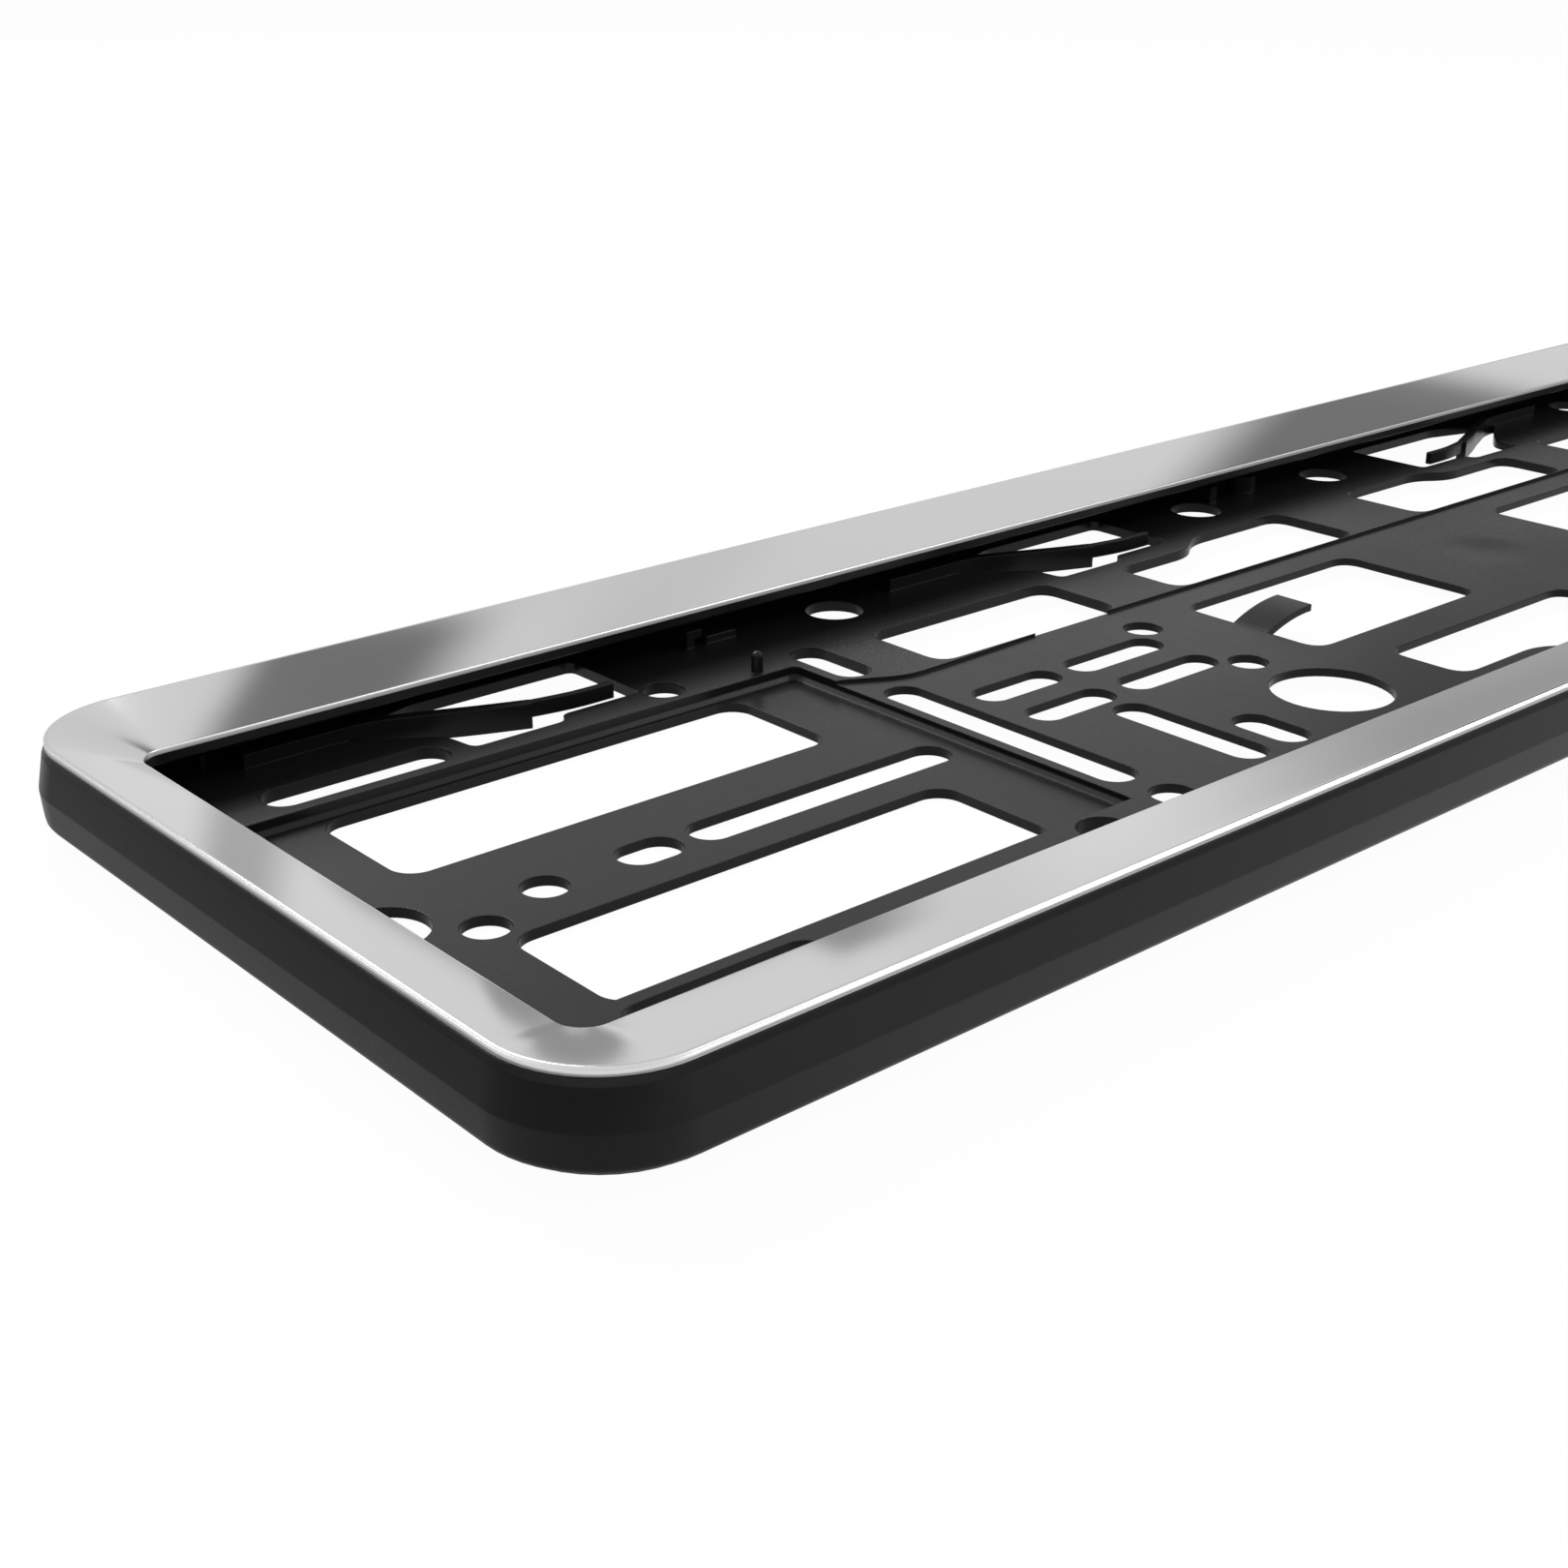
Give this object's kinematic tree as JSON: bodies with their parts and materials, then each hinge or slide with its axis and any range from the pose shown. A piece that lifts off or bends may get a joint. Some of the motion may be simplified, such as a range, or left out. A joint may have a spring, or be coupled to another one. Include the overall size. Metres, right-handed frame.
{
  "type": "number plate holder",
  "caption": "Number plate holder for a long car plate: a perforated screw-on carrier with spring blades, inside a black surround with a bright metal trim.",
  "frame": {"origin": "centre of the holder's outline, on the undersides of the two bays that lie on the bumper", "axes": "+X along the plate, +Y across it towards the upper edge, +Z out of the bumper towards the viewer of the plate"},
  "size_m": [0.5328, 0.1366, 0.0148],
  "materials": {
    "carrier_black": "satin black moulded plastic",
    "surround_black": "satin black moulded plastic",
    "bright_trim": "polished stainless sheet"
  },
  "bodies": {
    "root": {"carrier": "carrier_black", "surround": "surround_black", "trim": "bright_trim"}
  },
  "joints": []
}
